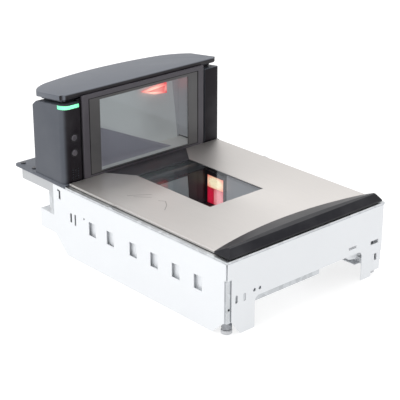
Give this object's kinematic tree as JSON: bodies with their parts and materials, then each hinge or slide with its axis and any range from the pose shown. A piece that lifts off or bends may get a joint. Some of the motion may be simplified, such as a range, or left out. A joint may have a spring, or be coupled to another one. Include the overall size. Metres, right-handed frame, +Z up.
{
  "type": "in-counter barcode scanner and scale",
  "caption": "In-counter scanner with a flat window in a lift-off weighing platter, an upright window in a tower, and levelling feet.",
  "frame": {"origin": "bottom centre of the bounding box, on the surface that the feet stand on", "axes": "+X to the right seen from the operator's side, +Y from the operator to the tower, +Z up"},
  "size_m": [0.292, 0.457, 0.2362],
  "materials": {
    "enclosure_white": "white powder coat, fine orange peel",
    "tray_grey": "grey powder coat, fine orange peel",
    "galvanised_steel": "bright zinc, fine spangle",
    "jack_steel": "dark zinc",
    "foot_plastic": "light grey nylon",
    "tower_slate": "fine moulded texture, slate grey",
    "tower_black": "fine moulded texture, black",
    "rail_black": "satin moulded black",
    "platter_steel": "satin stainless, fine grain",
    "scan_glass": "clear coated scan glass",
    "light_green": "lit diffuser",
    "button_metal": "satin, dark",
    "cast_aluminium": "as cast",
    "pad_rubber": "matte",
    "optic_mirror": "first-surface mirror",
    "circuit_board": "solder mask green",
    "lens_glass": "coated lens barrel",
    "lamp_red": "red lamp diffuser",
    "socket_black": "moulded black",
    "screw_steel": "black zinc"
  },
  "bodies": {
    "enclosure": {"base_screws": "screw_steel", "bonnet": "tower_slate", "bottom_pan": "enclosure_white", "button_board": "circuit_board", "cable_duct": "galvanised_steel", "connector_box": "enclosure_white", "data_sockets": "socket_black", "front_plate": "enclosure_white", "jack_bracket_front_left": "galvanised_steel", "jack_bracket_front_right": "enclosure_white", "jack_bracket_rear_left": "galvanised_steel", "jack_bracket_rear_right": "galvanised_steel", "light_bar": "light_green", "load_cell": "cast_aluminium", "load_cell_mount": "galvanised_steel", "lower_camera": "circuit_board", "lower_lens": "lens_glass", "lower_light_modules": "lamp_red", "lower_mirror_back": "optic_mirror", "lower_mirror_front": "optic_mirror", "main_board": "circuit_board", "optics_tub": "tower_black", "pillar_left": "tower_slate", "pillar_right": "tower_slate", "power_socket": "socket_black", "rear_tray": "tray_grey", "rear_wall": "enclosure_white", "rim_frame": "galvanised_steel", "side_plate_left": "enclosure_white", "side_plate_right": "enclosure_white", "socket_board": "circuit_board", "socket_panel": "galvanised_steel", "speaker": "socket_black", "tower_back_cover": "tower_black", "tower_base": "tower_slate", "tower_camera": "circuit_board", "tower_lens": "lens_glass", "tower_light_module": "lamp_red", "tower_rear_mirror": "optic_mirror", "tower_side_mirror_left": "optic_mirror", "tower_side_mirror_right": "optic_mirror", "window_bezel": "tower_black"},
    "scale_deck": {"scale_deck": "cast_aluminium", "platter_pads": "pad_rubber"},
    "platter": {"platter": "platter_steel", "flat_glass": "scan_glass", "window_trim": "tower_black", "upright_frame": "tower_black", "upright_glass": "scan_glass", "produce_rail": "rail_black"},
    "upper_button": {"upper_button": "button_metal"},
    "lower_button": {"lower_button": "button_metal"},
    "foot_front_left": {"jack_foot_front_left": "foot_plastic"},
    "screw_front_left": {"jack_screw_front_left": "jack_steel"},
    "foot_front_right": {"jack_foot_front_right": "foot_plastic"},
    "screw_front_right": {"jack_screw_front_right": "jack_steel"},
    "foot_rear_left": {"jack_foot_rear_left": "foot_plastic"},
    "screw_rear_left": {"jack_screw_rear_left": "jack_steel"},
    "foot_rear_right": {"jack_foot_rear_right": "foot_plastic"},
    "screw_rear_right": {"jack_screw_rear_right": "jack_steel"}
  },
  "joints": [
    {"name": "scale_deck_travel", "type": "slide", "parent": "enclosure", "child": "scale_deck", "axis": [0, 0, 1], "range_m": [-0.0005, 0], "stiffness_N_per_m": 200000, "springref_m": 0.0002, "deforming": ["load_cell"]},
    {"name": "platter_lift", "type": "slide", "parent": "scale_deck", "child": "platter", "axis": [0, 0, 1], "range_m": [0, 0.14]},
    {"name": "upper_button_press", "type": "slide", "parent": "enclosure", "child": "upper_button", "axis": [0, 1, 0], "range_m": [0, 0.001], "stiffness_N_per_m": 1500, "springref_m": -0.0003},
    {"name": "lower_button_press", "type": "slide", "parent": "enclosure", "child": "lower_button", "axis": [0, 1, 0], "range_m": [0, 0.001], "stiffness_N_per_m": 1500, "springref_m": -0.0003},
    {"name": "foot_front_left_travel", "type": "slide", "parent": "enclosure", "child": "foot_front_left", "axis": [0, 0, -1], "range_m": [0, 0.01]},
    {"name": "screw_front_left_turn", "type": "hinge", "parent": "foot_front_left", "child": "screw_front_left", "pos_m": [-0.1345, -0.216, 0.02], "axis": [0, 0, 1], "range_deg": [0, 2880]},
    {"name": "foot_front_right_travel", "type": "slide", "parent": "enclosure", "child": "foot_front_right", "axis": [0, 0, -1], "range_m": [0, 0.01]},
    {"name": "screw_front_right_turn", "type": "hinge", "parent": "foot_front_right", "child": "screw_front_right", "pos_m": [0.1345, -0.216, 0.02], "axis": [0, 0, 1], "range_deg": [0, 2880]},
    {"name": "foot_rear_left_travel", "type": "slide", "parent": "enclosure", "child": "foot_rear_left", "axis": [0, 0, -1], "range_m": [0, 0.01]},
    {"name": "screw_rear_left_turn", "type": "hinge", "parent": "foot_rear_left", "child": "screw_rear_left", "pos_m": [-0.1345, 0.076, 0.02], "axis": [0, 0, 1], "range_deg": [0, 2880]},
    {"name": "foot_rear_right_travel", "type": "slide", "parent": "enclosure", "child": "foot_rear_right", "axis": [0, 0, -1], "range_m": [0, 0.01]},
    {"name": "screw_rear_right_turn", "type": "hinge", "parent": "foot_rear_right", "child": "screw_rear_right", "pos_m": [0.1345, 0.076, 0.02], "axis": [0, 0, 1], "range_deg": [0, 2880]}
  ],
  "couplings": [
    {"joint": "screw_front_left_turn", "follows": "foot_front_left_travel", "rad_per_m": 5026},
    {"joint": "screw_front_right_turn", "follows": "foot_front_right_travel", "rad_per_m": 5026},
    {"joint": "screw_rear_left_turn", "follows": "foot_rear_left_travel", "rad_per_m": 5026},
    {"joint": "screw_rear_right_turn", "follows": "foot_rear_right_travel", "rad_per_m": 5026}
  ]
}
